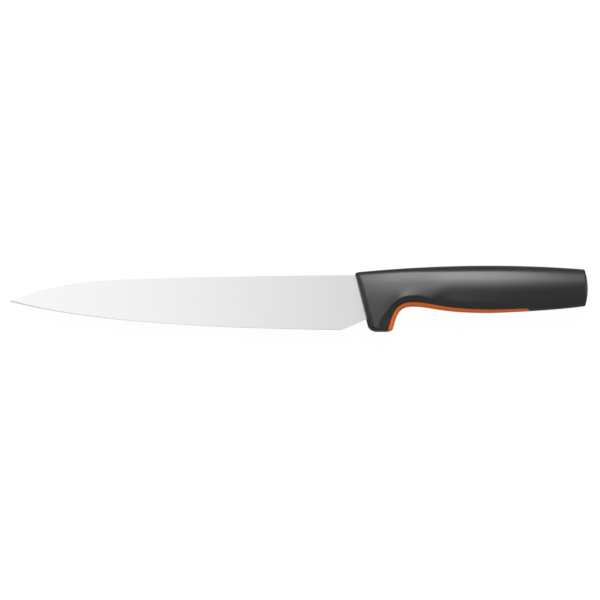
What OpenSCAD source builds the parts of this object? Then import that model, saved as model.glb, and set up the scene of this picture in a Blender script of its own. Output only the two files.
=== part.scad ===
/* [Blade] */
// Length of the blade, from its point to the handle along the spine
blade_len = 207.4; // [170:0.1:250]
// Height of the blade at its heel
blade_h = 32.9; // [28:0.1:40]
// How far the point lies below the spine
point_drop = 15.8; // [10:0.1:22]
// Distance from the handle to where the spine bends down to the point
bend_back = 130; // [100:1:150]
// How far the spine has fallen at that bend
bend_drop = 2.3; // [0.5:0.1:4]
// Distance from the handle forward to the corner of the heel
heel_back = 8.5; // [4:0.5:16]
// Slope of the heel up to the handle, in degrees
heel_angle = 23.5; // [15:0.5:35]
// Thickness of the blade at the spine and of the tang
spine_t = 2.0; // [1.6:0.1:3]
// Thickness just above the edge bevel, at the heel
edge_t = 0.3; // [0.2:0.05:0.6]
// Thickness that the blade loses between handle and point
taper_t = 0.5; // [0:0.05:0.7]
// Angle of the edge bevel on each side, in degrees
bevel_angle = 18; // [14:1:22]
// Thickness left at the very edge
edge_land = 0.04; // [0.02:0.01:0.1]

/* [Tang] */
// How far the full height of the blade reaches into the handle
blade_inset = 4; // [3:0.5:6]
// Length of the tang behind the handle's front
tang_len = 100; // [90:1:115]
// Height of the tang
tang_h = 10; // [8:0.5:11]
// Depth of the tang's middle line below the spine
tang_drop = 7.6; // [7:0.1:8]
// Diameter of the holes that the handle core fills
tang_hole_d = 5; // [3:0.5:6]
// Number of those holes
tang_holes = 3; // [2:1:4]
// Distance between two holes
tang_hole_pitch = 26; // [18:1:30]
// Distance from the handle's front to the middle of the first hole
tang_hole_first = 26; // [20:1:32]

/* [Handle outline] */
// Length of the handle from its front at the spine to the crown of the butt
handle_len = 139.2; // [125:0.1:150]
// Lean of the handle's front edge, in degrees
front_lean = 14; // [8:0.5:18]
// Height of the handle's front corner above the spine
top_front = 1.7; // [1:0.1:3]
// Height of the butt's top corner above the spine
top_butt = 3.5; // [2:0.1:5]
// Pull of the top line upwards, front half
top_pull_front = 6.2; // [5:0.1:7.4]
// Pull of the top line upwards, rear half
top_pull_rear = 7.1; // [6:0.1:8.4]
// Depth of the guard's bottom below the spine
guard_drop = 34.0; // [31:0.1:38]
// Width of the guard along its bottom
guard_w = 13.6; // [11:0.1:17]
// Depth of the recess roof, where the finger rests, below the spine
recess_drop = 18.9; // [17:0.1:21]
// Distance from the handle's front to the lowest stretch of the recess roof
recess_x = 34.3; // [31:0.1:40]
// Depth of the belly of the grip below the spine
belly_drop = 22.7; // [21:0.1:25]
// Distance from the belly to the butt
belly_back = 59.2; // [50:0.1:65]
// Depth of the butt's bottom corner below the spine
butt_drop = 18.6; // [16.5:0.1:20]
// How far the butt bulges out
butt_dome = 1.7; // [0.8:0.1:2.5]
// Radius of the edge round the butt
butt_r = 0.9; // [0.5:0.1:1.2]
// Radius of the front corner at the spine
corner_r_top = 1.5; // [1:0.1:2]
// Height of the rounding at the guard's front corner
guard_corner_h = 3.4; // [2:0.1:5]
// Height of the rounding at the guard's rear corner
rear_corner_h = 1.8; // [1:0.1:3]
// Width of that rounding along the guard's bottom
rear_corner_w = 3.2; // [2:0.1:4]

/* [Handle thickness] */
// Thickness of the handle at its front
front_t = 16.6; // [15:0.1:19]
// Thickness of the grip at its thickest
grip_t = 21.6; // [20:0.1:25]
// Thickness of the grip at the butt
butt_t = 18.6; // [17:0.1:21]
// Thickness of the flat front face round the blade
face_t = 7.2; // [5:0.1:10]
// Width of the narrow land along the handle's outline
land_w = 2.4; // [1:0.1:3]
// Width of the rolled border round the finger recess
roll_w = 6.6; // [5:0.1:7.5]
// How far the flank stands out at the rolled border
lip_h = 0.75; // [0:0.05:1.2]
// Width of the front edge's rounding at the spine
round_top = 4.2; // [3:0.1:5]
// Width of the front edge's rounding at the guard
round_low = 2.5; // [2:0.1:4]

/* [Liner and core] */
// Width of the orange liner's side face round the recess
liner_w = 2.7; // [2:0.1:3.2]
// Width of the liner's side face near its rear end
liner_w_end = 1.8; // [1.5:0.1:2.6]
// Distance from the butt's crown to the liner's rear end
liner_back = 34.7; // [28:0.1:45]
// Seam between the liner and the grip cover
seam = 0.05; // [0.02:0.01:0.1]
// Thickness of the handle core
core_t = 9; // [7:0.5:9.5]
// Soft plastic between the core and the handle's top line
cover_top = 3; // [2.5:0.1:3.5]
// Plastic between the core and the handle's underside
cover_under = 4.2; // [3.8:0.1:4.6]
// Soft plastic between the core and the butt's crown
cover_butt = 9; // [7:0.5:14]
// Bevel of the core's rear corners
core_bevel = 3; // [1:0.5:4]

/* [Hidden] */

lean = tan(front_lean);
// The flank grind stops this far in front of the handle
grind_stop = 0.3;
// Reach of cutting solids past what they cut
over = 5;
// Steps of the curved stretches
curve_steps = 12;
corner_steps = 4;
// Points across one flank of the handle
flank_steps = 16;

// Point of a cubic curve with the control points c
function cubic(c, t) = pow(1 - t, 3) * c[0] + 3 * t * pow(1 - t, 2) * c[1]
    + 3 * t * t * (1 - t) * c[2] + pow(t, 3) * c[3];
// Point of a square curve with the control points c
function square_curve(c, t) = pow(1 - t, 2) * c[0] + 2 * t * (1 - t) * c[1] + t * t * c[2];
// Control points from one knot to the next; a knot is x, y, direction, reach before, reach after
function leave(k) = [k[0] + k[4] * cos(k[2]), k[1] + k[4] * sin(k[2])];
function arrive(k) = [k[0] - k[3] * cos(k[2]), k[1] - k[3] * sin(k[2])];
function between(a, b) = [[a[0], a[1]], leave(a), arrive(b), [b[0], b[1]]];
// Points along a chain of knots, without the last knot
function chain(k, n) = [
    for (i = [0 : len(k) - 2])
        for (j = [0 : n - 1]) cubic(between(k[i], k[i + 1]), j / n)
];
function last_point(k) = [k[len(k) - 1][0], k[len(k) - 1][1]];
function front_x(y) = -y * lean;
function limit(t) = min(max(t, 0), 1);
function smooth(t) = let (c = limit(t)) c * c * (3 - 2 * c);
function fade(t, span) = smooth((t - span[0]) / (span[1] - span[0]));
function mix(a, b, t) = a + (b - a) * t;
function turn_left(v) = [-v[1], v[0]] / norm(v);

// The spine, from the handle to the point: its directions, and its reaches as shares of each stretch
spine_turns = [180.3, 181.8, 203.2];
point_len = blade_len - bend_back;
point_reach = [0.38 * point_len, 0.35 * point_len];
spine_knots = [
    [0, 0, spine_turns[0], 0, bend_back / 3],
    [-bend_back, -bend_drop, spine_turns[1], bend_back / 3, point_reach[0]],
    [-blade_len, -point_drop, spine_turns[2], point_reach[1], 0]
];
// The cutting edge, from the point to the heel, in the same way
edge_turns = [-14.2, -0.75];
edge_reach = [0.156 * blade_len, 0.573 * blade_len];
edge_knots = [
    [-blade_len, -point_drop, edge_turns[0], 0, edge_reach[0]],
    [-heel_back, -blade_h, edge_turns[1], edge_reach[1], 0]
];
edge_points = concat(chain(edge_knots, 2 * curve_steps), [last_point(edge_knots)]);
// Where the heel's slope ends at the shoulder, inside the handle
heel_rise = tan(heel_angle);
inset_x = blade_inset / cos(front_lean);
function shoulder(y) = [front_x(y) + inset_x, y];
heel_end = shoulder((-blade_h + (heel_back + inset_x) * heel_rise) / (1 + lean * heel_rise));
tang_top = -tang_drop + tang_h / 2;
tang_bottom = -tang_drop - tang_h / 2;

// Slopes of the ground flank, along the blade and across it
slope_x = taper_t / 2 / blade_len;
slope_y = (spine_t - edge_t) / 2 / blade_h;
slope_n = sqrt(1 + slope_x * slope_x + slope_y * slope_y);
function half_t(p) = spine_t / 2 + slope_x * p[0] + slope_y * p[1];

// Knots of the handle's underside, from the guard's corner to the butt
foot = [front_x(-guard_drop) + guard_w, -guard_drop];
wall_spread = 1.5;
wall_angle = 90 - front_lean - wall_spread;
wall_way = [cos(wall_angle), sin(wall_angle)];
wall_up = 0.124 * guard_drop;
wall_top = foot + wall_up * wall_way;
wall_reach = 0.215 * guard_drop;
roof_reach = recess_x * [0.222, 0.35];
belly_reach = belly_back * [0.507, 0.059];
butt_reach = 0.355 * belly_back;
butt_rise = 7.9;
butt_over = 0.4;
recess_knots = [
    [wall_top[0], wall_top[1], wall_angle, 0, wall_reach],
    [recess_x, -recess_drop, 0, roof_reach[0], roof_reach[1]],
    [handle_len - belly_back, -belly_drop, 0, belly_reach[0], belly_reach[1]],
    [handle_len - butt_dome + butt_over, -butt_drop, butt_rise, butt_reach, 0]
];
under_points = concat(chain(recess_knots, curve_steps), [last_point(recess_knots)]);
// The recess wall run straight down through the guard
wall_foot = foot - over * wall_way;
wall_points = concat([wall_foot, wall_top - wall_up / 2 * wall_way], under_points);

// Height of the handle's top line
top_end = handle_len - butt_dome;
function top_y(x) = cubic([top_front, top_pull_front, top_pull_rear, top_butt], x / top_end);
// Half the thickness of the handle along its length
mid_pull = 2 * grip_t - (front_t + butt_t) / 2;
function half_w(x) = square_curve([front_t, mid_pull, butt_t], limit(x / top_end)) / 2;

// Distance from a point to a stretch of line, and to a chain of them
function to_stretch(p, a, b) = let (
    d = b - a,
    t = limit((p - a) * d / (d * d))
) norm(p - a - t * d);
function to_chain(p, c) = min([for (i = [0 : len(c) - 2]) to_stretch(p, c[i], c[i + 1])]);

// Stations of the handle: a point on its underside or front corner, and one on its top line
top_corner = [corner_r_top / cos(front_lean) - top_front * lean + corner_r_top * lean,
    top_front - corner_r_top];
// Where the stations start on the top line, from the front corner to the belly
fan_top = [2 * corner_r_top, 0.26 * recess_x, 0.39 * recess_x, 0.79 * recess_x, 0.987 * (handle_len - belly_back)];
front_stations = [
    for (i = [0 : corner_steps]) let (
        a = 90 * i / corner_steps,
        b = mix(180 + front_lean, 90, i / corner_steps),
        y = -guard_drop + guard_corner_h * (1 - sin(a))
    ) [
        [front_x(y) + round_low * (1 - cos(a)) / cos(front_lean), y],
        top_corner + corner_r_top * [cos(b), sin(b)]
    ]
];
function top_point(x) = [x, top_y(x)];
guard_stations = [
    for (i = [0 : corner_steps]) let (
        a = 90 - 90 * i / corner_steps,
        up = rear_corner_h * (1 - sin(a))
    ) [
        foot + [up / tan(wall_angle) - rear_corner_w * (1 - cos(a)), up],
        top_point(mix(fan_top[1], fan_top[2], i / (corner_steps + 1)))
    ]
];
grip_stations = [
    for (s = [0 : 2])
        for (i = [0 : curve_steps - 1]) let (
            from = [fan_top[2], fan_top[3], fan_top[4]][s],
            to = [fan_top[3], fan_top[4], top_end - butt_r][s]
        ) [
            under_points[s * curve_steps + i],
            top_point(mix(from, to, i / curve_steps))
        ]
];
end_station = [last_point(recess_knots) - [butt_r, 0], top_point(top_end - butt_r)];
stations = concat(front_stations, guard_stations, grip_stations, [end_station]);

// Where the forms of the flank fade out or in, along the handle and down the guard
crease_fade = recess_x * [1.11, 1.57];
lip_fade = recess_x * [0.73, 1.22];
front_fade = recess_x * [0.58, 1.75];
low_fade = -guard_drop * [0.5, 0.79];
corner_fade = [front_x(-guard_drop) + 0.19 * guard_w, front_x(-guard_drop) + 0.63 * guard_w];
lip_reach = 1.14 * roll_w;
// Height of the fullest line near the front, and the radius of the flank's bow below it
front_ridge = -0.62 * guard_drop;
front_bow = 2.2 * guard_drop;
// Squareness of the top at the butt and at the front, of the underside and of the rolled border
top_power = [2.2, 2.7];
under_power = 2.2;
roll_power = 0.45;
// Softness of the crease, along the recess and low in the guard
crease_soft = [0.08, 0.45];
roof_line = [for (p = under_points) if (p[0] >= recess_x) p];

// Share of the thickness that is left at a distance from a rim
function closing(distance, depth, power) = pow(1 - pow(limit(1 - distance / depth), power), 1 / power);
// A number held to 1 with a soft corner
function soft_limit(a, blend) = let (h = limit(0.5 + 0.5 * (1 - a) / blend))
    1 - h + a * h - blend * h * (1 - h);
function share(a, b) = a * a / max(a * a + b * b, 0.000001);

// Half the thickness of the handle at a place
function flank(p) = let (
    late = fade(p[0], crease_fade),
    early = 1 - fade(p[0], front_fade),
    low = p[0] < recess_x ? fade(p[1], low_fade) : 0,
    top = top_y(p[0]),
    under = lookup(p[0], roof_line),
    ridge = mix((top + under) / 2, front_ridge, early),
    land = land_w / 2,
    half = half_w(p[0]),
    crown = closing(top - p[1], top - ridge, mix(top_power[0], top_power[1], early)),
    reach = to_chain(p, wall_points),
    barrel = closing(reach, max(ridge - under, 1), under_power),
    bow = early * pow(max(ridge - p[1], 0), 2) / 2 / front_bow,
    roll = soft_limit(reach / roll_w, mix(crease_soft[0], crease_soft[1], low)),
    power = roll_power * (1 - late),
    past = max(1 - max(reach - roll_w, 0) / lip_reach, 0),
    lip = lip_h * (1 - fade(p[0], lip_fade)) * (1 - low) * past * past,
    v = limit(1 - (p[1] + guard_drop) / mix(guard_corner_h, rear_corner_h, fade(p[0], corner_fade))),
    width = mix(round_low, round_top, limit((p[1] + guard_drop) / guard_drop)),
    u = limit(1 - (p[0] * cos(front_lean) + p[1] * sin(front_lean)) / width),
    face = (face_t / 2 - land) / (half - land) * share(u, v),
    at_front = (face + (1 - face) * sqrt(max(1 - u * u - v * v, 0))) * pow(roll, power),
    g = 1 - roll,
    at_wall = mix(sqrt(max(1 - g * g - v * v, 0)), pow(max(1 - norm([g, v]), 0), power), share(g, v)),
    body = p[0] > corner_fade[0] + 1 && p[0] < foot[0] + 2 && v > 0 ? at_wall : at_front
) land + (half + lip - bow - land) * crown * mix(1, barrel, late) * body;

function station_ring(st) = let (
    flanks = [
        for (j = [0 : flank_steps]) let (
            t = (1 - cos(180 * j / flank_steps)) / 2,
            p = mix(st[0], st[1], t)
        ) [p[0], p[1], flank(p)]
    ]
) concat(flanks, [for (j = [flank_steps : -1 : 0]) [flanks[j][0], flanks[j][1], -flanks[j][2]]]);

// A ring of the domed butt, shrunk towards its middle and moved out
butt_mid = (end_station[0] + end_station[1]) / 2;
butt_half = norm(end_station[1] - end_station[0]) / 2;
function butt_ring(size, out) = [
    for (p = station_ring(end_station))
        [butt_mid[0] + (p[0] - butt_mid[0]) * size + out, butt_mid[1] + (p[1] - butt_mid[1]) * size, p[2] * size]
];
butt_size = 1 - butt_r / butt_half;
butt_rings = concat(
    [for (a = [30, 60]) butt_ring(1 - (1 - cos(a)) * butt_r / butt_half, butt_r * sin(a))],
    [for (f = [1, 0.7, 0.4, 0.1]) butt_ring(butt_size * f, butt_r + butt_dome * (1 - f * f))]
);
handle_rings = concat([for (st = stations) station_ring(st)], butt_rings);

// The part's origin lies under the middle of its box
ring_points = [for (r = handle_rings) each r];
x_max = max([for (p = ring_points) p[0]]);
y_max = max([for (p = ring_points) p[1]]);
y_min = min([for (p = ring_points) p[1]]);
z_max = max([for (p = ring_points) p[2]]);
to_origin = [(blade_len - x_max) / 2, -(y_max + y_min) / 2, z_max];

// Side outline of the blade with its tang
tang_end = [tang_len - tang_h / 2, -tang_drop];
tang_points = concat(
    [shoulder(tang_bottom)],
    [for (a = [-90 : 15 : 90]) tang_end + tang_h / 2 * [cos(a), sin(a)]],
    [shoulder(tang_top)]
);
blank_points = concat(
    [shoulder(0)],
    chain(spine_knots, 2 * curve_steps),
    edge_points,
    [heel_end],
    tang_points
);

// Side outline of the liner: above it lies the cover, below it only air
liner_end = handle_len - liner_back;
liner_taper = 3.5;
function liner_side(p) = mix(liner_w, liner_w_end, limit((p[0] - recess_x) / (liner_end - liner_taper - recess_x)))
    * sqrt(1 - pow(max(0, (p[0] - liner_end + liner_taper) / liner_taper), 2));
function inward(c, i) = turn_left(c[min(i + 1, len(c) - 1)] - c[max(i - 1, 0)]);
function liner_points(gap) = [
    for (i = [0 : len(wall_points) - 1])
        if (wall_points[i][0] < liner_end) let (p = wall_points[i])
            p + (liner_side(p) + gap) * inward(wall_points, i)
];

// Side outline of the core, which starts a little behind the shoulder
core_start = 1;
core_end = handle_len - cover_butt;
core_under = [
    for (i = [0 : len(under_points) - 1])
        if (under_points[i][0] < core_end - core_bevel) under_points[i] + cover_under * inward(under_points, i)
];
core_low = -guard_drop + cover_under;
core_top_points = [
    for (i = [0 : curve_steps]) let (x = mix(shoulder(0)[0] + core_start, core_end - core_bevel, i / curve_steps))
        [x, top_y(x) - cover_top]
];
core_top_end = core_top_points[curve_steps];
core_under_end = core_under[len(core_under) - 1];
core_points = concat(
    core_top_points,
    [[core_end, core_top_end[1] - core_bevel], [core_end, core_under_end[1] + core_bevel]],
    [for (i = [len(core_under) - 1 : -1 : 0]) core_under[i]],
    [[core_under[0][0] - (core_under[0][1] - core_low) / tan(wall_angle), core_low]],
    [
        shoulder(core_low) + [core_start, 0],
        shoulder(core_low + core_start),
        shoulder(core_top_points[0][1] - core_start)
    ]
);

// Closed skin through rings of equal length
module skin(rings) {
    n = len(rings[0]);
    sides = [
        for (i = [0 : len(rings) - 2])
            for (j = [0 : n - 1])
                each let (k = (j + 1) % n) [
                    [i * n + j, i * n + k, (i + 1) * n + k],
                    [i * n + j, (i + 1) * n + k, (i + 1) * n + j]
                ]
    ];
    front = [[for (j = [n - 1 : -1 : 0]) j]];
    back = [[for (j = [0 : n - 1]) (len(rings) - 1) * n + j]];
    polyhedron(points = [for (r = rings) each r], faces = concat(sides, front, back), convexity = 6);
}

// The whole handle, before it is divided into its pieces
module handle_form() {
    skin(handle_rings);
}

module plate(points, thickness) {
    linear_extrude(height = thickness, center = true) polygon(points);
}

// Everything in front of the grind's end, above one ground flank
module above_flank() {
    far = blade_len + over;
    low = blade_h + 2 * over;
    stop = grind_stop / cos(front_lean);
    intersection() {
        translate([0, 0, spine_t / 2])
            rotate([asin(slope_y / slope_n), -atan(slope_x), 0])
                translate([-far, -low, 0])
                    cube([far + 2 * over, low + over, 2 * spine_t]);
        plate([[-far, over], [front_x(over) - stop, over], [front_x(-low) - stop, -low], [-far, -low]],
            6 * spine_t);
    }
}

// Everything outside one side of the edge bevel
module outside_bevel() {
    rise = tan(bevel_angle);
    width = spine_t / 2 / rise;
    count = len(edge_points);
    first = edge_points[0] - (edge_points[1] - edge_points[0]);
    last = edge_points[count - 1] + (edge_points[count - 1] - edge_points[count - 2]);
    line = concat([first], edge_points, [last]);
    skin([
        for (i = [0 : count + 1]) let (
            n = inward(line, i),
            low = line[i] - n,
            high = line[i] + width * n
        ) [
            [low[0], low[1], edge_land / 2 - rise],
            [low[0], low[1], 2 * spine_t],
            [high[0], high[1], 2 * spine_t],
            [high[0], high[1], (edge_land + spine_t) / 2]
        ]
    ]);
}

module tang_hole_pegs() {
    for (i = [0 : tang_holes - 1])
        translate([tang_hole_first + i * tang_hole_pitch, -tang_drop, 0])
            cylinder(h = 2 * spine_t, d = tang_hole_d, center = true, $fn = 48);
}

module core_plate() {
    plate(core_points, core_t);
}

// Prism that holds the liner, widened by a gap
module liner_space(gap) {
    top = liner_points(gap);
    end_x = liner_end + gap;
    low = wall_foot[1] - over;
    plate(concat(
        [[wall_foot[0] + over, low], [top[0][0], low]],
        top,
        [[end_x, last_point(top)[1] - liner_taper], [end_x, low]]
    ), 2 * grip_t);
}

// Stainless steel blade, ground from one plate with its hidden tang
module blade() {
    color("gainsboro") translate(to_origin) difference() {
        plate(blank_points, spine_t);
        above_flank();
        mirror([0, 0, 1]) above_flank();
        outside_bevel();
        mirror([0, 0, 1]) outside_bevel();
        tang_hole_pegs();
    }
}

// Hard plastic core, moulded round the tang and through its holes
module handle_core() {
    color("dimgray") translate(to_origin) difference() {
        core_plate();
        difference() {
            plate(tang_points, spine_t);
            tang_hole_pegs();
        }
    }
}

// Soft black cover, moulded over the core
module grip_cover() {
    color("#2b2b2b") translate(to_origin) difference() {
        handle_form();
        core_plate();
        plate(blank_points, spine_t);
        liner_space(seam);
    }
}

// Orange liner of the finger recess and the underside
module finger_liner() {
    color("darkorange") translate(to_origin) intersection() {
        handle_form();
        liner_space(0);
    }
}

blade();
handle_core();
grip_cover();
finger_liner();
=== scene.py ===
import math

import bmesh
import bpy
import numpy as np
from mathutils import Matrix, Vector


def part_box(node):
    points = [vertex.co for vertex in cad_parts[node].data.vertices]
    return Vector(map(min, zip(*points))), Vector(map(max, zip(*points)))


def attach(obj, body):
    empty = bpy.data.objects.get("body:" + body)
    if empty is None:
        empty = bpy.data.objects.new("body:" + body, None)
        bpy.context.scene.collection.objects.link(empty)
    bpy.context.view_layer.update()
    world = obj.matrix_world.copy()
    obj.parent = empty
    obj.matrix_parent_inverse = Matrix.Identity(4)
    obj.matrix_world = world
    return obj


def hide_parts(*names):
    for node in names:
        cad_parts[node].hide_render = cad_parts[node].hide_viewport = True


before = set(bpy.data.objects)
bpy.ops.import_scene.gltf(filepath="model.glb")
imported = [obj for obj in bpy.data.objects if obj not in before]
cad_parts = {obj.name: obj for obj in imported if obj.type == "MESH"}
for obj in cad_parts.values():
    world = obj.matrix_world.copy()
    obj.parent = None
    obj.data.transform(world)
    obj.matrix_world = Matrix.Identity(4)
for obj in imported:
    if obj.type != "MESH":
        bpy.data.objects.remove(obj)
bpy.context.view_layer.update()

# A carving knife that lies on its side: X runs from point to butt, Y from edge to spine, Z through it.
# Sizes are millimetres in the knife's own drawing: x = 0 where the handle starts at the spine,
# y = 0 on the spine, z = 0 at half the thickness.
mm = 0.001


# Small helpers

def linearColor(hexValue):
    channels = [int(hexValue[i:i + 2], 16) / 255 for i in (1, 3, 5)]
    return [c / 12.92 if c <= 0.04045 else ((c + 0.055) / 1.055) ** 2.4 for c in channels] + [1.0]


def mix(a, b, t):
    return a + (b - a) * t


def smooth(t):
    t = np.clip(t, 0, 1)
    return t * t * (3 - 2 * t)


def cubicCurve(corners, t):
    t = np.asarray(t, float)[:, None]
    a, b, c, d = [np.asarray(p, float) for p in corners]
    return (1 - t) ** 3 * a + 3 * t * (1 - t) ** 2 * b + 3 * t * t * (1 - t) * c + t ** 3 * d


def throughKnots(knots, steps):  # a knot is x, y, direction in degrees, reach before it, reach after it
    stretches = []
    for a, b in zip(knots, knots[1:]):
        leave = (a[0] + a[4] * math.cos(math.radians(a[2])), a[1] + a[4] * math.sin(math.radians(a[2])))
        arrive = (b[0] - b[3] * math.cos(math.radians(b[2])), b[1] - b[3] * math.sin(math.radians(b[2])))
        corners = [a[:2], leave, arrive, b[:2]]
        stretches.append(cubicCurve(corners, np.linspace(0, 1, steps, endpoint=False)))
    return np.vstack(stretches + [[knots[-1][:2]]])


def runOf(line):
    return np.concatenate([[0], np.cumsum(np.linalg.norm(np.diff(line, axis=0), axis=1))])


def atRun(line, run):
    return np.column_stack([np.interp(run, runOf(line), line[:, i]) for i in (0, 1)])


def runNear(line, point):
    return runOf(line)[np.argmin(np.linalg.norm(line - np.asarray(point), axis=1))]


def distanceTo(line, points):
    flat = points.reshape(-1, 2)
    start, along = line[:-1], np.diff(line, axis=0)
    squared = np.full(len(flat), np.inf)
    for a, d in zip(start, along):
        share = np.clip(((flat - a) @ d) / (d @ d), 0, 1)
        squared = np.minimum(squared, ((flat - a - share[:, None] * d) ** 2).sum(axis=1))
    return np.sqrt(squared).reshape(points.shape[:-1])


# Outline of the handle

handle = {
    "length": 139.2,
    "frontLean": 14,
    "topFront": 1.7,
    "topPull": (6.2, 7.1),
    "topButt": 3.5,
    "guardDrop": 34.0,
    "guardWidth": 13.6,
    "recessX": 34.3,
    "recessDrop": 18.9,
    "bellyX": 80.0,
    "bellyDrop": 22.7,
    "buttDrop": 18.6,
    "dome": 1.7,
    "buttRadius": 0.9,
    "topCorner": 1.5,
    "guardCorner": 3.4,
    "rearCorner": 1.8,
    "rearCornerWidth": 3.2,
    "frontThick": 16.6,
    "gripThick": 21.6,
    "buttThick": 18.6,
    "faceThick": 7.2,
    "land": 2.4,
    "rollWidth": 6.6,
    "lip": 0.75,
    "wallLean": 1.5,
    "wallRise": 4.2,
    "wallPull": 7.3,
    "recessPull": (7.6, 12),
    "bellyPull": (30, 3.5),
    "buttPull": 21,
    "buttSlope": 7.9,
    "buttPast": 0.4,
}
bladeSizes = {
    "length": 207.4,
    "height": 32.9,
    "pointDrop": 15.8,
    "bendBack": 130,
    "bendDrop": 2.3,
    "spineWays": (180.3, 181.8, 203.2),
    "edgeWays": (-14.2, -0.75),
    "pointPull": (0.38, 0.35),
    "edgePull": (0.156, 0.573),
    "heelBack": 8.5,
    "heelAngle": 23.5,
    "spineThick": 2.0,
    "edgeThick": 0.3,
    "taper": 0.5,
    "bevelAngle": 18,
    "edgeLand": 0.04,
    "heelBevel": (0.12, 0.08),
    "inset": 4,
}

lean = math.radians(handle["frontLean"])
bladeLow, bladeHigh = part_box("blade")
place = Vector((bladeLow.x + bladeSizes["length"] * mm, bladeHigh.y, (bladeLow.z + bladeHigh.z) / 2))


def frontX(y):
    return -y * math.tan(lean)


topEnd = handle["length"] - handle["dome"]


def topY(x):
    t = np.clip(x / topEnd, 0, 1)
    a, d = handle["topFront"], handle["topButt"]
    b, c = handle["topPull"]
    return (1 - t) ** 3 * a + 3 * t * (1 - t) ** 2 * b + 3 * t * t * (1 - t) * c + t ** 3 * d


# The recess line is the handle's lower edge, from the guard's rear foot up its wall to the butt
curveSteps = 90
wallAngle = 90 - handle["frontLean"] - handle["wallLean"]
wallWay = np.array([math.cos(math.radians(wallAngle)), math.sin(math.radians(wallAngle))])
foot = np.array([frontX(-handle["guardDrop"]) + handle["guardWidth"], -handle["guardDrop"]])
wallTop = foot + handle["wallRise"] * wallWay
recessLine = np.vstack([
    [foot],
    throughKnots([
        (wallTop[0], wallTop[1], wallAngle, 0, handle["wallPull"]),
        (handle["recessX"], -handle["recessDrop"], 0, *handle["recessPull"]),
        (handle["bellyX"], -handle["bellyDrop"], 0, *handle["bellyPull"]),
        (topEnd + handle["buttPast"], -handle["buttDrop"], handle["buttSlope"], handle["buttPull"], 0),
    ], curveSteps),
])
lastX = topEnd + handle["buttPast"] - handle["buttRadius"]
lastY = np.interp(lastX, recessLine[-curveSteps:, 0], recessLine[-curveSteps:, 1])
recessLine = np.vstack([recessLine[recessLine[:, 0] < lastX], [[lastX, lastY]]])

# The crown line is its front and its top edge, round the top corner
cornerRadius = handle["topCorner"]
cornerY = handle["topFront"] - cornerRadius
cornerMid = np.array([cornerRadius / math.cos(lean) - cornerY * math.tan(lean), cornerY])
cornerAngles = np.radians(np.linspace(180 + handle["frontLean"], 90, 24))
cornerArc = cornerMid + cornerRadius * np.column_stack([np.cos(cornerAngles), np.sin(cornerAngles)])
frontYs = np.linspace(-handle["guardDrop"], cornerArc[0][1], 200)[:-1]
topXs = np.linspace(cornerArc[-1][0], topEnd - handle["buttRadius"], 600)[1:]
crownLine = np.vstack([
    np.column_stack([frontX(frontYs), frontYs]),
    cornerArc,
    np.column_stack([topXs, topY(topXs)]),
])
lengths = [round(runOf(line)[-1], 1) for line in (recessLine, crownLine)]
print("outline: recess line", lengths[0], "mm, crown line", lengths[1], "mm")

# Grid lines cross the handle from the recess line to the crown line, between these pairs of places
cornerRise = 4.7
lowY = -handle["guardDrop"] + cornerRise
gridPairs = [
    (foot, (frontX(-handle["guardDrop"]), -handle["guardDrop"])),
    ((foot[0] + cornerRise / math.tan(math.radians(wallAngle)), lowY), (frontX(lowY), lowY)),
    ((24.6, -25.0), (frontX(-17), -17)),
    ((27.3, -21.3), (frontX(-4), -4)),
    ((28.3, -20.4), cornerArc[0]),
    ((29.4, -19.8), cornerArc[-1]),
    ((34.3, -18.7), (12, topY(12))),
    ((46.0, -19.4), (34, topY(34))),
    ((80.0, -22.5), (79, topY(79))),
    (recessLine[-1], crownLine[-1]),
]
pairRuns = np.array([[runNear(recessLine, a), runNear(crownLine, b)] for a, b in gridPairs])
gridStep = (0.5, 0.9)
leastLines = 12
stationRuns = []
for i, (near, far) in enumerate(zip(pairRuns, pairRuns[1:])):
    span = far - near
    count = int(max(span[0] / gridStep[0], span[1] / gridStep[1], leastLines))
    t = np.linspace(0, 1, count, endpoint=False)
    stationRuns.append(near + span * (t ** 2 if i == 0 else t)[:, None])  # closer at the guard's low end
stationRuns = np.vstack(stationRuns + [pairRuns[-1:]])
recessEnds = atRun(recessLine, stationRuns[:, 0])
crownEnds = atRun(crownLine, stationRuns[:, 1])
lowStations = recessEnds[:, 1] < lowY + 1e-6
crownEnds[lowStations, 1] = recessEnds[lowStations, 1]
crownEnds[lowStations, 0] = frontX(recessEnds[lowStations, 1])
spans = np.linalg.norm(crownEnds - recessEnds, axis=1)
print("handle grid:", len(spans), "lines")


# The shape of the handle's flank

def closing(distance, depth, power):  # 0 at the rim, rising to 1 at a distance of depth
    q = np.clip(1 - distance / depth, 0, 1)
    return (1 - q ** power) ** (1 / power)


def softLimit(a, blend):  # a, limited to 1 with a soft corner
    h = np.clip(0.5 + 0.5 * (1 - a) / blend, 0, 1)
    return (1 - h) + a * h - blend * h * (1 - h)


flank = {
    "creaseFade": (38, 54),
    "lipFade": (25, 42),
    "frontFade": (20, 60),
    "frontRidge": -21,
    "frontBarrel": 75,
    "topPower": (2.7, 2.2),
    "underPower": 2.2,
    "rollPower": 0.45,
    "creaseSoft": (0.08, 0.45),
    "lowFade": (-17, -27),
    "lipReach": 7.5,
    "frontRound": (4.2, 2.5),
    "frontRoundRise": 36,
    "rearFade": (11, 17),
    "wallFrom": 12.3,
}
underXs, underYs = recessLine[recessLine[:, 0] > handle["recessX"]].T


def fadeIn(x, name):
    start, end = flank[name]
    return smooth((x - start) / (end - start))


def lowRound(y, x):
    depth = mix(handle["guardCorner"], handle["rearCorner"], fadeIn(x, "rearFade"))
    return np.clip(1 - (y + handle["guardDrop"]) / depth, 0, 1)


def frontRound(y):
    return mix(*flank["frontRound"], np.clip((y + handle["guardDrop"]) / flank["frontRoundRise"], 0, 1))


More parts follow.
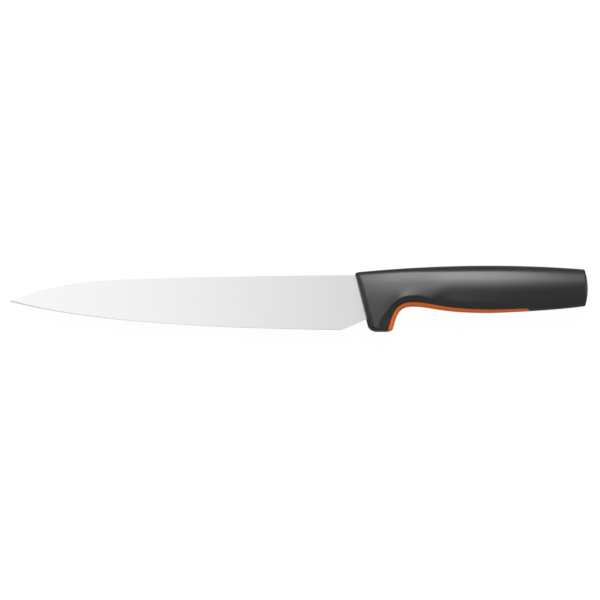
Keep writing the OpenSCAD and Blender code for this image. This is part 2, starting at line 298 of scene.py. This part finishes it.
def halfThickness(x, y, reach):  # reach is the distance from the recess line
    late = fadeIn(x, "creaseFade")
    early = 1 - fadeIn(x, "frontFade")
    t = np.clip(x / topEnd, 0, 1)
    pull = 2 * handle["gripThick"] - (handle["frontThick"] + handle["buttThick"]) / 2
    half = ((1 - t) ** 2 * handle["frontThick"] + 2 * t * (1 - t) * pull + t * t * handle["buttThick"]) / 2
    under = np.interp(x, underXs, underYs)
    ridge = mix((topY(x) + under) / 2, flank["frontRidge"], early)
    top = closing(topY(x) - y, topY(x) - ridge, mix(flank["topPower"][1], flank["topPower"][0], early))
    barrel = closing(reach, np.maximum(ridge - under, 1), flank["underPower"])
    low = fadeIn(y, "lowFade") * (x < handle["recessX"])
    roll = softLimit(reach / handle["rollWidth"], mix(*flank["creaseSoft"], low))
    power = flank["rollPower"] * (1 - late)
    lip = handle["lip"] * (1 - fadeIn(x, "lipFade")) * (1 - low)
    lip = lip * np.clip(1 - np.maximum(reach - handle["rollWidth"], 0) / flank["lipReach"], 0, 1) ** 2
    land = handle["land"] / 2
    face = (handle["faceThick"] / 2 - land) / (half - land)
    u = np.clip(1 - (x * math.cos(lean) + y * math.sin(lean)) / frontRound(y), 0, 1)
    v = lowRound(y, x)
    g = 1 - roll
    rhoFront = np.minimum(np.hypot(u, v), 1)
    faceShare = face * u * u / np.maximum(u * u + v * v, 1e-9)
    atFront = faceShare + (1 - faceShare) * np.sqrt(1 - rhoFront ** 2)
    rhoWall = np.minimum(np.hypot(g, v), 1)
    wallShare = g * g / np.maximum(g * g + v * v, 1e-9)
    atWall = mix(np.sqrt(1 - rhoWall ** 2), (1 - rhoWall) ** power, wallShare)
    inGuard = (x < foot[0] + 2) & (y < lowY + 0.3)
    body = np.where(inGuard & (x > flank["wallFrom"]), atWall, atFront * np.maximum(roll, 1e-6) ** power)
    drop = early * np.maximum(ridge - y, 0) ** 2 / 2 / flank["frontBarrel"]
    return land + (half + lip - drop - land) * top * mix(1, barrel, late) * body


# Rows of the grid, as distances from the recess line and from the crown line

liner = {
    "width": 2.7,
    "endWidth": 1.8,
    "end": 104.5,
    "endRound": 3.5,
    "gap": 0.12,
    "edgeRound": 0.25,
    "step": 0.16,
    "tongue": 0.3,
}
linerRows = np.concatenate([np.linspace(0, 1, 12) ** 2 * 0.88, [0.91, 0.94, 0.965, 0.985, 1.0]])
rollStart = [0, 0.006, 0.014, 0.028, 0.05, 0.09]
rollRows = np.concatenate([rollStart, np.linspace(0.15, 0.85, 8), [0.92, 0.97, 1.0]])
pastRows = np.array([0.25, 0.6, 1.1])
farRows = np.linspace(1, 0, 15) ** 2 * 4.4
middleCount = 18


def linerWidth(x):
    start = liner["end"] - liner["endRound"]
    tip = np.sqrt(np.clip(1 - (np.maximum(x - start, 0) / liner["endRound"]) ** 2, 0, 1))
    return np.interp(x, (handle["recessX"], start), (liner["width"], liner["endWidth"])) * tip


def edgeDip(distance):
    r = liner["edgeRound"]
    q = np.clip(1 - distance / r, 0, 1)
    return r - r * np.sqrt(1 - q * q)


widths = linerWidth(recessEnds[:, 0])
rearLow = lowRound(recessEnds[:, 1], np.full(len(spans), foot[0]))
nearestRow = handle["rearCornerWidth"] * (1 - np.sqrt(1 - rearLow * rearLow))
frontLow = lowRound(crownEnds[:, 1], np.zeros(len(spans)))
lastRow = frontRound(crownEnds[:, 1]) * (1 - np.sqrt(1 - frontLow * frontLow)) / math.cos(lean)
directions = (crownEnds - recessEnds) / spans[:, None]
# A tongue on the liner's back lies in the cover's groove
tongues = np.clip((widths - nearestRow) / 2, 0, liner["tongue"])
probeRuns = np.linspace(0, 13.5, 46)  # past the last row that is placed by its distance from the recess line
probes = recessEnds[:, None, :] + directions[:, None, :] * probeRuns[None, :, None]
probeReach = distanceTo(recessLine, probes)


def alongLine(reach):  # how far along its grid line a distance from the recess line lies
    reach = np.maximum(reach, nearestRow[:, None])
    return np.array([np.interp(r, near, probeRuns) for r, near in zip(reach, probeReach)])


def rowPoints(run):
    run = np.minimum(run, (spans - lastRow)[:, None])
    points = recessEnds[:, None, :] + directions[:, None, :] * run[:, :, None]
    reach = distanceTo(recessLine, points)
    return points, halfThickness(points[:, :, 0], points[:, :, 1], reach), reach


coverStart = np.where(widths > 0.01, widths + liner["gap"], 0)
nearRows = coverStart[:, None] + (handle["rollWidth"] - coverStart)[:, None] * rollRows
pastRows = handle["rollWidth"] + pastRows[None, :] + 0 * spans[:, None]
nearRuns = alongLine(np.hstack([nearRows, pastRows]))
farRuns = spans[:, None] - farRows[None, :]
between = np.linspace(0, 1, middleCount + 2)[1:-1]
middleRuns = mix(nearRuns[:, -1:], farRuns[:, :1], between[None, :])
coverPoints, coverHalf, coverReach = rowPoints(np.hstack([nearRuns, middleRuns, farRuns]))
seamHere = (widths > 0.01)[:, None]
coverHalf = coverHalf - np.where(seamHere, edgeDip(coverReach - coverStart[:, None]), 0)

linerPoints, linerHalf, linerReach = rowPoints(alongLine(widths[:, None] * linerRows))
linerHalf = linerHalf - np.where(seamHere, liner["step"] * smooth(linerReach / 0.8), 0)


def gridShell(name, points, half, seamRow, closeButt):
    bm = bmesh.new()

    def vertex(x, y, z):
        return bm.verts.new(place + Vector((x, y, z)) * mm)

    lines, rows = half.shape
    upper = [[vertex(*points[k, j], half[k, j]) for j in range(rows)] for k in range(lines)]
    lower = [[vertex(*points[k, j], -half[k, j]) for j in range(rows)] for k in range(lines)]
    ridge = [vertex(*(points[k, seamRow] + directions[k] * tongues[k]), 0) for k in range(lines)]
    for k in range(lines - 1):
        for j in range(rows - 1):
            bm.faces.new((upper[k][j], upper[k][j + 1], upper[k + 1][j + 1], upper[k + 1][j]))
            bm.faces.new((lower[k][j], lower[k + 1][j], lower[k + 1][j + 1], lower[k][j + 1]))
        plainRow = rows - 1 if seamRow == 0 else 0
        bm.faces.new((upper[k][plainRow], upper[k + 1][plainRow], lower[k + 1][plainRow], lower[k][plainRow]))
        bm.faces.new((upper[k][seamRow], upper[k + 1][seamRow], ridge[k + 1], ridge[k]))
        bm.faces.new((ridge[k], ridge[k + 1], lower[k + 1][seamRow], lower[k][seamRow]))
    around = [ridge[0]] if seamRow == 0 else []
    bm.faces.new(upper[0][::-1] + around + lower[0] + ([] if around else [ridge[0]]))
    around = [ridge[-1]] if seamRow == 0 else []
    rim = upper[-1] + ([] if around else [ridge[-1]]) + lower[-1][::-1] + around
    if closeButt:
        rimPlaces = np.array([(v.co - place) / mm for v in rim])
        middle = (rimPlaces.min(axis=0) + rimPlaces.max(axis=0)) / 2
        radius = handle["buttRadius"]  # the rim is rounded first, and then the face is a shallow dome
        halfHeight = (rimPlaces[:, 1].max() - rimPlaces[:, 1].min()) / 2
        turns = [math.radians(a) for a in (18, 36, 54, 72, 90)]
        shrinks = [(1 - (1 - math.cos(a)) * radius / halfHeight, radius * math.sin(a)) for a in turns]
        flat = 1 - radius / halfHeight
        shrinks += [(flat * f, radius + handle["dome"] * (1 - f * f)) for f in np.linspace(0.96, 0.04, 14)]
        for size, out in shrinks:
            ring = [vertex(*(middle + (p - middle) * size + np.array([out, 0, 0]))) for p in rimPlaces]
            for i in range(len(rim)):
                n = (i + 1) % len(rim)
                bm.faces.new((rim[i], rim[n], ring[n], ring[i]))
            rim = ring
    bm.faces.new(rim)
    bmesh.ops.remove_doubles(bm, verts=bm.verts, dist=0.002 * mm)
    bmesh.ops.dissolve_degenerate(bm, dist=0.0005 * mm, edges=bm.edges)
    bmesh.ops.recalc_face_normals(bm, faces=bm.faces)
    return finishMesh(bm, name)


def finishMesh(bm, name, sharpAngle=38):
    mesh = bpy.data.meshes.new(name)
    bm.to_mesh(mesh)
    bm.free()
    mesh.polygons.foreach_set("use_smooth", [True] * len(mesh.polygons))
    mesh.set_sharp_from_angle(angle=math.radians(sharpAngle))
    piece = bpy.data.objects.new(name, mesh)
    bpy.context.scene.collection.objects.link(piece)
    return piece


softCover = gridShell("softCover", coverPoints, coverHalf, 0, True)
linerUsed = widths > 0.01
last = np.nonzero(linerUsed)[0][-1] + 2
orangeLiner = gridShell("orangeLiner", linerPoints[:last], linerHalf[:last], linerHalf.shape[1] - 1, False)
print("handle pieces:", len(softCover.data.polygons), "and", len(orangeLiner.data.polygons), "faces")


# Blade

def bladePiece():
    s = bladeSizes
    backReach = s["length"] - s["bendBack"]
    first, bend, point = s["spineWays"]
    leave, arrive = [backReach * share for share in s["pointPull"]]
    spineLine = throughKnots([
        (0, 0, first, 0, s["bendBack"] / 3),
        (-s["bendBack"], -s["bendDrop"], bend, s["bendBack"] / 3, leave),
        (-s["length"], -s["pointDrop"], point, arrive, 0),
    ], 400)[::-1]
    fromPoint, atHeel = s["edgeWays"]
    leave, arrive = [s["length"] * share for share in s["edgePull"]]
    edgeLine = throughKnots([
        (-s["length"], -s["pointDrop"], fromPoint, 0, leave),
        (-s["heelBack"], -s["height"], atHeel, arrive, 0),
    ], 800)
    insetX = s["inset"] / math.cos(lean)
    heelRise = math.tan(math.radians(s["heelAngle"]))
    heelEndY = (-s["height"] + (s["heelBack"] + insetX) * heelRise) / (1 + math.tan(lean) * heelRise)
    heelEnd = np.array([frontX(heelEndY) + insetX, heelEndY])
    heel = np.array([-s["heelBack"], -s["height"]])
    t = np.concatenate([np.linspace(0, 1, 60, endpoint=False) ** 1.6 * 0.3, np.linspace(0.3, 1, 60)])
    xs = mix(-s["length"], -s["heelBack"], t)
    tops = np.column_stack([xs, np.interp(xs, spineLine[:, 0], spineLine[:, 1])])
    feet = np.column_stack([xs, np.interp(xs, edgeLine[:, 0], edgeLine[:, 1])])
    sharpened = len(xs)
    steps = np.concatenate([[0.004], np.linspace(0, 1, 12)[1:]])
    heelTops = np.column_stack([mix(-s["heelBack"], insetX, steps), 0 * steps])
    heelTops[:, 1] = np.interp(heelTops[:, 0], spineLine[:, 0], spineLine[:, 1])
    heelFeet = heel + (heelEnd - heel) * steps[:, None]
    tops = np.vstack([tops, heelTops])
    feet = np.vstack([feet, heelFeet])
    heights = np.linalg.norm(tops - feet, axis=1)
    slopeX = s["taper"] / 2 / s["length"]
    slopeY = (s["spineThick"] - s["edgeThick"]) / 2 / s["height"]
    rise = math.tan(math.radians(s["bevelAngle"]))

    def halfAt(p):
        return s["spineThick"] / 2 + slopeX * p[..., 0] + slopeY * p[..., 1]

    bm = bmesh.new()
    upper, lower = [], []
    for k, (top, low) in enumerate(zip(tops, feet)):
        height = max(heights[k], 1e-3)
        down = (low - top) / height
        atEdge = halfAt(low)
        if k < sharpened:
            bevel = min((atEdge - s["edgeLand"] / 2) / rise, height * 0.7)
            edgeHalf = s["edgeLand"] / 2
        else:  # the heel's lower edge only has its corners taken off
            bevel = s["heelBevel"][0]
            edgeHalf = atEdge - s["heelBevel"][1]
        rows = []
        for f in np.linspace(0, 1, 10):
            p = top + down * (height - bevel) * f
            rows.append((p, halfAt(p)))
        bevelTop = halfAt(top + down * (height - bevel))
        rows.append((top + down * (height - bevel / 2), (bevelTop + edgeHalf) / 2))
        rows.append((low, edgeHalf))
        if k == 0:
            rows = [(p, edgeHalf) for p, h in rows]
        upper.append([bm.verts.new(place + Vector((p[0], p[1], h)) * mm) for p, h in rows])
        lower.append([bm.verts.new(place + Vector((p[0], p[1], -h)) * mm) for p, h in rows])
    lines, rows = len(upper), len(upper[0])
    for k in range(lines - 1):
        for j in range(rows - 1):
            bm.faces.new((upper[k][j], upper[k][j + 1], upper[k + 1][j + 1], upper[k + 1][j]))
            bm.faces.new((lower[k][j], lower[k + 1][j], lower[k + 1][j + 1], lower[k][j + 1]))
        for j in (0, rows - 1):
            bm.faces.new((upper[k][j], upper[k + 1][j], lower[k + 1][j], lower[k][j]))
    bm.faces.new(upper[-1] + lower[-1][::-1])
    bmesh.ops.remove_doubles(bm, verts=bm.verts, dist=0.002 * mm)
    bmesh.ops.recalc_face_normals(bm, faces=bm.faces)
    return finishMesh(bm, "groundBlade", 9)


tang = {
    "length": 100,
    "height": 10,
    "drop": 7.6,
    "holes": 3,
    "firstHole": 26,
    "holePitch": 26,
    "holeWidth": 5,
    "overlap": 1.5,
    "spaceThick": 3.2,
}


def prism(name, outline, thickness):
    bm = bmesh.new()
    levels = (-thickness / 2, thickness / 2)
    rings = [[bm.verts.new(place + Vector((x, y, z)) * mm) for x, y in outline] for z in levels]
    bm.faces.new(rings[0][::-1])
    bm.faces.new(rings[1])
    for i in range(len(outline)):
        n = (i + 1) % len(outline)
        bm.faces.new((rings[0][i], rings[0][n], rings[1][n], rings[1][i]))
    return finishMesh(bm, name)


def combine(piece, tool, operation, sharpAngle=38):
    change = piece.modifiers.new("combine", "BOOLEAN")
    change.operation = operation
    change.object = tool
    change.solver = "EXACT"
    graph = bpy.context.evaluated_depsgraph_get()
    mesh = bpy.data.meshes.new_from_object(piece.evaluated_get(graph))
    piece.modifiers.clear()
    piece.data = mesh
    bpy.data.objects.remove(tool)
    mesh.polygons.foreach_set("use_smooth", [True] * len(mesh.polygons))
    mesh.set_sharp_from_angle(angle=math.radians(sharpAngle))


def tangPlate(extra):  # the hidden tang; extra widens the pocket that it lies in
    half = tang["height"] / 2 + extra
    end = tang["length"] - tang["height"] / 2
    start = bladeSizes["inset"] / math.cos(lean) - tang["overlap"]
    corners = [(frontX(-tang["drop"] + side * half) + start, -tang["drop"] + side * half) for side in (1, -1)]
    angles = np.radians(np.arange(-90, 91, 15))
    curve = [(end + half * math.cos(a), half * math.sin(a) - tang["drop"]) for a in angles]
    return prism("tangPlate", [corners[0], corners[1], *curve], bladeSizes["spineThick"] + 2 * extra)


def tangHole(x):
    radius = tang["holeWidth"] / 2
    angles = np.radians(np.arange(48) * 7.5)
    circle = [(x + radius * math.cos(a), radius * math.sin(a) - tang["drop"]) for a in angles]
    return prism("tangHole", circle, 3 * bladeSizes["spineThick"])


groundBlade = bladePiece()
bladePocket = bladePiece()
combine(bladePocket, tangPlate(0.01), "UNION")
hiddenTang = tangPlate(0)
for i in range(tang["holes"]):
    combine(hiddenTang, tangHole(tang["firstHole"] + i * tang["holePitch"]), "DIFFERENCE")
combine(groundBlade, hiddenTang, "UNION", 9)
print("blade:", len(groundBlade.data.polygons), "faces")


# The cover is hollow where the core, the blade and the tang lie in it

def mergedCopy(node, name):
    bm = bmesh.new()
    bm.from_mesh(node.data)
    bm.transform(node.matrix_world)
    bmesh.ops.remove_doubles(bm, verts=bm.verts, dist=0.0005 * mm)
    return finishMesh(bm, name)


tangSpace = [(10, -13.6), (101, -13.6), (101, -1.6), (10, -1.6)]  # clears what the core's holes would leave
combine(softCover, mergedCopy(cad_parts["handle_core"], "corePocket"), "DIFFERENCE")
combine(softCover, prism("tangSpace", tangSpace, tang["spaceThick"]), "DIFFERENCE")
combine(softCover, bladePocket, "DIFFERENCE")
print("cover:", len(softCover.data.polygons), "faces")


# Materials

def addNode(tree, kind, values=None, links=None, **settings):
    node = tree.nodes.new(kind)
    for name, value in settings.items():
        setattr(node, name, value)
    for name, value in (values or {}).items():
        node.inputs[name].default_value = value
    for name, socket in (links or {}).items():
        tree.links.new(socket, node.inputs[name])
    return node


def newMaterial(name):
    material = bpy.data.materials.new(name)
    material.use_nodes = True
    tree = material.node_tree
    tree.nodes.clear()
    output = tree.nodes.new("ShaderNodeOutputMaterial")
    return material, tree, output


# Grinding lines and moulded grain are drawn coarser than the real ones, so that they show

steel = {
    "color": "#f0f0f0",
    "darkColor": "#ebebeb",
    "roughness": 0.3,
    "grindSpacing": 0.45,
    "grindLength": 30,
    "grindDepth": 0.002,
}


# Martensitic stainless steel, belt ground across the blade: a soft gloss with faint lines from spine to edge
def satinSteel():
    material, tree, output = newMaterial("satinSteel")
    coords = addNode(tree, "ShaderNodeTexCoord")
    spacing = steel["grindSpacing"] * mm
    scale = (1 / spacing, 1 / (steel["grindLength"] * mm), 1 / spacing)
    stretch = addNode(tree, "ShaderNodeMapping", {"Scale": scale}, {"Vector": coords.outputs["Object"]})
    lines = addNode(tree, "ShaderNodeTexNoise", {"Scale": 1, "Detail": 4, "Roughness": 0.6},
                    {"Vector": stretch.outputs["Vector"]})
    tones = {"A": linearColor(steel["color"]), "B": linearColor(steel["darkColor"])}
    tone = addNode(tree, "ShaderNodeMix", tones, {"Factor": lines.outputs["Fac"]}, data_type="RGBA")
    bump = addNode(tree, "ShaderNodeBump", {"Strength": 0.25, "Distance": steel["grindDepth"] * mm},
                   {"Height": lines.outputs["Fac"]})
    shader = addNode(tree, "ShaderNodeBsdfPrincipled", {"Metallic": 1.0, "Roughness": steel["roughness"]},
                     {"Base Color": tone.outputs["Result"], "Normal": bump.outputs["Normal"]})
    tree.links.new(shader.outputs["BSDF"], output.inputs["Surface"])
    return material


rubber = {
    "color": "#1c1c1c",
    "paleColor": "#202020",
    "roughness": 0.22,
    "ior": 1.55,  # the carbon black in it lifts this a little
    "grain": 0.5,
    "grainDepth": 0.03,
    "grainStrength": 0.5,
}


# Thermoplastic elastomer, moulded against a finely eroded tool: nearly black with a broad soft sheen
def softTouchRubber():
    material, tree, output = newMaterial("softTouchRubber")
    coords = addNode(tree, "ShaderNodeTexCoord")
    grain = addNode(tree, "ShaderNodeTexNoise", {"Scale": 1 / (rubber["grain"] * mm), "Detail": 3},
                    {"Vector": coords.outputs["Object"]})
    tones = {"A": linearColor(rubber["color"]), "B": linearColor(rubber["paleColor"])}
    tone = addNode(tree, "ShaderNodeMix", tones, {"Factor": grain.outputs["Fac"]}, data_type="RGBA")
    relief = {"Strength": rubber["grainStrength"], "Distance": rubber["grainDepth"] * mm}
    bump = addNode(tree, "ShaderNodeBump", relief, {"Height": grain.outputs["Fac"]})
    gloss = {"Roughness": rubber["roughness"], "IOR": rubber["ior"]}
    shader = addNode(tree, "ShaderNodeBsdfPrincipled", gloss,
                     {"Base Color": tone.outputs["Result"], "Normal": bump.outputs["Normal"]})
    tree.links.new(shader.outputs["BSDF"], output.inputs["Surface"])
    return material


plastic = {
    "color": "#fa761a",
    "deepColor": "#f27016",
    "roughness": 0.42,
    "ior": 1.49,
    "grain": 0.5,
    "grainDepth": 0.03,
    "grainStrength": 0.15,
}


# Polypropylene with orange pigment, satin moulded: an even colour and a soft highlight
def orangePlastic():
    material, tree, output = newMaterial("orangePlastic")
    coords = addNode(tree, "ShaderNodeTexCoord")
    grain = addNode(tree, "ShaderNodeTexNoise", {"Scale": 1 / (plastic["grain"] * mm), "Detail": 2},
                    {"Vector": coords.outputs["Object"]})
    tones = {"A": linearColor(plastic["color"]), "B": linearColor(plastic["deepColor"])}
    tone = addNode(tree, "ShaderNodeMix", tones, {"Factor": grain.outputs["Fac"]}, data_type="RGBA")
    relief = {"Strength": plastic["grainStrength"], "Distance": plastic["grainDepth"] * mm}
    bump = addNode(tree, "ShaderNodeBump", relief, {"Height": grain.outputs["Fac"]})
    gloss = {"Roughness": plastic["roughness"], "IOR": plastic["ior"]}
    shader = addNode(tree, "ShaderNodeBsdfPrincipled", gloss,
                     {"Base Color": tone.outputs["Result"], "Normal": bump.outputs["Normal"]})
    tree.links.new(shader.outputs["BSDF"], output.inputs["Surface"])
    return material


hardPlastic = {"color": "#3a3a3a", "roughness": 0.6, "grain": 0.4, "grainDepth": 0.02, "grainStrength": 0.2}


# Glass filled polypropylene, as moulded: dull dark grey, hidden under the cover
def hardCorePlastic():
    material, tree, output = newMaterial("hardCorePlastic")
    coords = addNode(tree, "ShaderNodeTexCoord")
    grain = addNode(tree, "ShaderNodeTexNoise", {"Scale": 1 / (hardPlastic["grain"] * mm)},
                    {"Vector": coords.outputs["Object"]})
    relief = {"Strength": hardPlastic["grainStrength"], "Distance": hardPlastic["grainDepth"] * mm}
    bump = addNode(tree, "ShaderNodeBump", relief, {"Height": grain.outputs["Fac"]})
    finish = {"Base Color": linearColor(hardPlastic["color"]), "Roughness": hardPlastic["roughness"]}
    shader = addNode(tree, "ShaderNodeBsdfPrincipled", finish, {"Normal": bump.outputs["Normal"]})
    tree.links.new(shader.outputs["BSDF"], output.inputs["Surface"])
    return material


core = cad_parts["handle_core"]
core.data.materials.clear()
core.data.materials.append(hardCorePlastic())
for piece, node, slot, material in (
    (groundBlade, "blade", "steel", satinSteel()),
    (softCover, "grip_cover", "soft_black", softTouchRubber()),
    (orangeLiner, "finger_liner", "orange_plastic", orangePlastic()),
):
    piece.data.materials.append(material)
    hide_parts(node)
    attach(piece, "root")
print("materials set")


# Floor, light and camera

studio = {
    "floorSize": 6,
    "lens": 135,
    "sensor": 36,
    "frameWidth": 360,
    "frameMiddle": (-33.12, -14.85),
    "floorColor": "#888888",
    "floorGlow": 1.14,
    "floorShare": 0.85,  # of the glow in what the camera sees of the floor; the rest keeps the shadow
    "bounceShare": 0.05,
    "sky": 0.24,
    "key": {"angle": 33, "x": 0.15, "distance": 1.25, "size": (0.6, 2.1), "radiance": 6.6},
}
# Soft edges of the lit parts: a source, where the edge starts and ends, and the levels before and after it
bladeBoxEdges = [("X", -0.15, 0.02, 1.12, 1.25), ("X", -0.02, 0.06, 1, 0), ("X", -0.4, -0.28, 0, 1),
                 ("Y", -0.7, -0.5, 0, 1), ("Y", 0.2, 0.45, 1, 0)]
wallEdges = [("X", -0.45, -0.3, 0.56, 0), ("X", 0.25, 0.4, 0, 0.56), ("Z", 0.8, 0.96, 0.56, 0)]
lowSideEdges = [("Y", -0.5, -0.1, 0.2, 1)]
lampEdges = [("Y", 0.06, 0.6, 0, 1), ("Y", 0.93, 1, 1, 0.5), ("X", 0, 0.25, 0, 1), ("X", 0.6, 1, 1, 0)]


def studioFloor():
    mesh = bpy.data.meshes.new("studioFloor")
    r = studio["floorSize"] / 2
    mesh.from_pydata([(-r, -r, 0), (r, -r, 0), (r, r, 0), (-r, r, 0)], [], [(0, 1, 2, 3)])
    floor = bpy.data.objects.new("studioFloor", mesh)
    bpy.context.scene.collection.objects.link(floor)
    material, tree, output = newMaterial("whitePaper")
    diffuse = addNode(tree, "ShaderNodeBsdfDiffuse", {"Color": linearColor(studio["floorColor"])})
    white = {"Color": (1, 1, 1, 1), "Strength": studio["floorGlow"]}
    glow = addNode(tree, "ShaderNodeEmission", white)
    path = addNode(tree, "ShaderNodeLightPath")
    bounced = addNode(tree, "ShaderNodeMath", operation="MAXIMUM",
                      links={0: path.outputs["Is Glossy Ray"], 1: path.outputs["Is Transmission Ray"]})
    share = addNode(tree, "ShaderNodeMath", {1: studio["bounceShare"]}, {0: bounced.outputs[0]},
                    operation="MULTIPLY")
    share = addNode(tree, "ShaderNodeMath", {1: studio["floorShare"]},
                    {0: path.outputs["Is Camera Ray"], 2: share.outputs[0]}, operation="MULTIPLY_ADD")
    blend = addNode(tree, "ShaderNodeMixShader")
    tree.links.new(share.outputs[0], blend.inputs[0])
    tree.links.new(diffuse.outputs[0], blend.inputs[1])
    tree.links.new(glow.outputs[0], blend.inputs[2])
    tree.links.new(blend.outputs[0], output.inputs["Surface"])
    mesh.materials.append(material)


def softPanel(tree, axes, edges, operation="MULTIPLY"):
    panel = None
    for axis, start, end, low, high in edges:
        levels = {"From Min": start, "From Max": end, "To Min": low, "To Max": high}
        edge = addNode(tree, "ShaderNodeMapRange", levels, {"Value": axes.outputs[axis]},
                       interpolation_type="SMOOTHSTEP").outputs[0]
        if panel is None:
            panel = edge
        else:
            panel = addNode(tree, "ShaderNodeMath", links={0: panel, 1: edge}, operation=operation).outputs[0]
    return panel


def studioWorld():
    world = bpy.data.worlds.new("studioWorld")
    bpy.context.scene.world = world
    world.use_nodes = True
    tree = world.node_tree
    tree.nodes.clear()
    output = tree.nodes.new("ShaderNodeOutputWorld")
    coords = addNode(tree, "ShaderNodeTexCoord")
    axes = addNode(tree, "ShaderNodeSeparateXYZ", links={"Vector": coords.outputs["Generated"]})
    # Pale walls all round, darker towards the edge's side, and a flat box overhead that the blade mirrors
    bladeBox = softPanel(tree, axes, bladeBoxEdges)
    walls = softPanel(tree, axes, wallEdges, "MAXIMUM")
    lowSide = softPanel(tree, axes, lowSideEdges)
    walls = addNode(tree, "ShaderNodeMath", links={0: walls, 1: lowSide}, operation="MULTIPLY")
    boxes = addNode(tree, "ShaderNodeMath", links={0: bladeBox, 1: walls.outputs[0]}, operation="ADD")
    light = addNode(tree, "ShaderNodeMath", {1: studio["sky"]}, {0: boxes.outputs[0]}, operation="ADD")
    path = addNode(tree, "ShaderNodeLightPath")
    bounced = addNode(tree, "ShaderNodeMath", operation="MAXIMUM",
                      links={0: path.outputs["Is Glossy Ray"], 1: path.outputs["Is Transmission Ray"]})
    share = addNode(tree, "ShaderNodeMath", {1: studio["bounceShare"]},
                    {0: bounced.outputs[0], 2: path.outputs["Is Camera Ray"]}, operation="MULTIPLY_ADD")
    seen = addNode(tree, "ShaderNodeMix", {"B": 1}, {"Factor": share.outputs[0], "A": light.outputs[0]})
    sky = addNode(tree, "ShaderNodeBackground", {"Color": (1, 1, 1, 1)}, {"Strength": seen.outputs["Result"]})
    tree.links.new(sky.outputs[0], output.inputs["Surface"])


def softbox(name, angle, x, distance, size, radiance):  # angle from straight up, towards the spine's side
    lamp = bpy.data.lights.new(name, "AREA")
    lamp.shape = "RECTANGLE"
    lamp.size, lamp.size_y = size
    lamp.energy = radiance * math.pi * size[0] * size[1]
    box = bpy.data.objects.new(name, lamp)
    a = math.radians(angle)
    box.location = (x, math.sin(a) * distance, math.cos(a) * distance)
    box.rotation_euler = (-a, 0, 0)
    lamp.use_nodes = True
    tree = lamp.node_tree
    spot = addNode(tree, "ShaderNodeNewGeometry")
    axes = addNode(tree, "ShaderNodeSeparateXYZ", links={"Vector": spot.outputs["Parametric"]})
    tree.links.new(softPanel(tree, axes, lampEdges), tree.nodes["Emission"].inputs["Strength"])
    # The blade is kept out of this light, which would glare on it
    flagged = bpy.data.collections.new(name + "Flag")
    box.light_linking.receiver_collection = flagged
    flagged.objects.link(groundBlade)
    flagged.collection_objects[0].light_linking.link_state = "EXCLUDE"
    bpy.context.scene.collection.objects.link(box)


def studioCamera():
    camera = bpy.data.cameras.new("studioCamera")
    camera.lens = studio["lens"]
    camera.sensor_width = studio["sensor"]
    camera.clip_end = 20
    view = bpy.data.objects.new("studioCamera", camera)
    away = studio["frameWidth"] * mm * studio["lens"] / studio["sensor"]
    x, y = studio["frameMiddle"]
    view.location = place + Vector((x * mm, y * mm, away))
    bpy.context.scene.collection.objects.link(view)
    bpy.context.scene.camera = view


studioFloor()
studioWorld()
softbox("keySoftbox", **studio["key"])
studioCamera()
bpy.context.scene.view_settings.view_transform = "Standard"
print("studio set")
